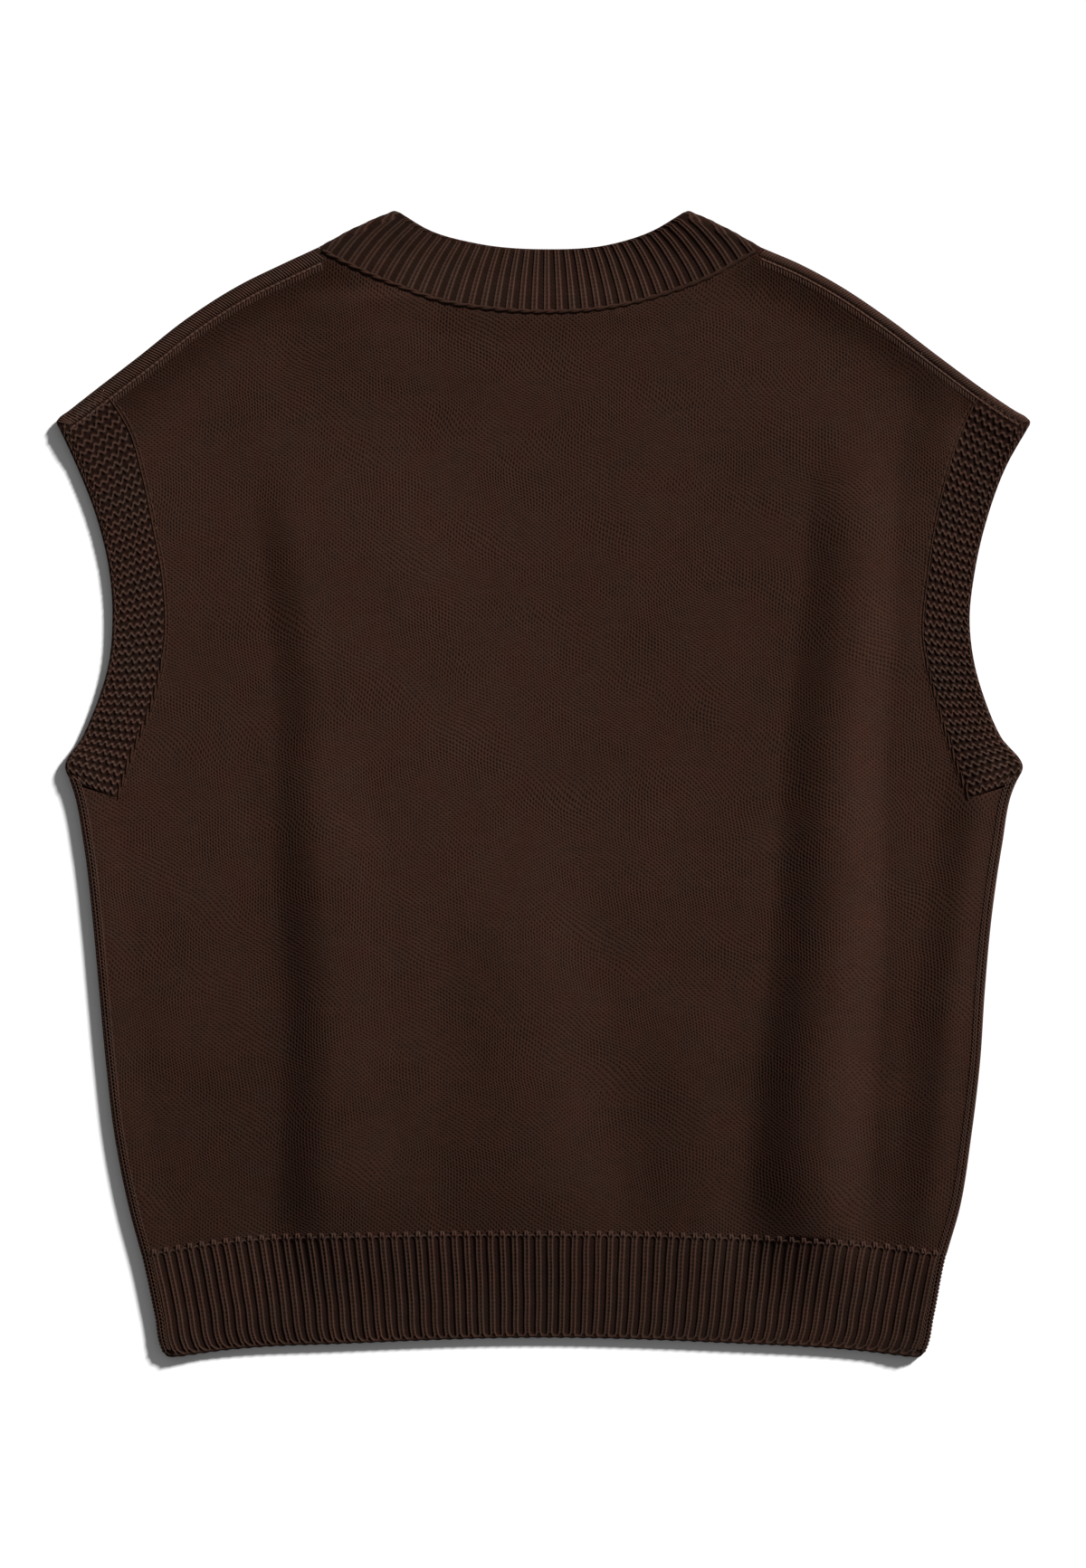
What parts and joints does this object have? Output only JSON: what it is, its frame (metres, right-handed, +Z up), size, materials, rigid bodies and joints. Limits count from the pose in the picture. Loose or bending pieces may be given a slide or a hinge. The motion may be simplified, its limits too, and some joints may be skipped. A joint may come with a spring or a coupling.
{
  "type": "knitted sweater vest",
  "caption": "Sleeveless knitted sweater vest lying flat, back up, with ribbed hem and neckband and garter-knit armhole bands.",
  "frame": {"origin": "middle of the vest's box on the surface it lies on", "axes": "+Y from the hem to the neck, +X to the right as the picture shows the back, +Z up from the surface"},
  "size_m": [0.5096, 0.6, 0.015],
  "materials": {
    "jersey_knit": "matt garment-dyed cotton yarn, dark brown, plain jersey knit",
    "rib_knit": "matt garment-dyed cotton yarn, dark brown, one by one rib",
    "garter_knit": "matt garment-dyed cotton yarn, dark brown, garter stitch across the band"
  },
  "bodies": {
    "root": {"back_panel": "jersey_knit", "front_panel": "jersey_knit", "hem_rib_back": "rib_knit", "hem_rib_front": "rib_knit", "armhole_band_left": "garter_knit", "armhole_band_right": "garter_knit", "neckband": "rib_knit"}
  },
  "joints": []
}
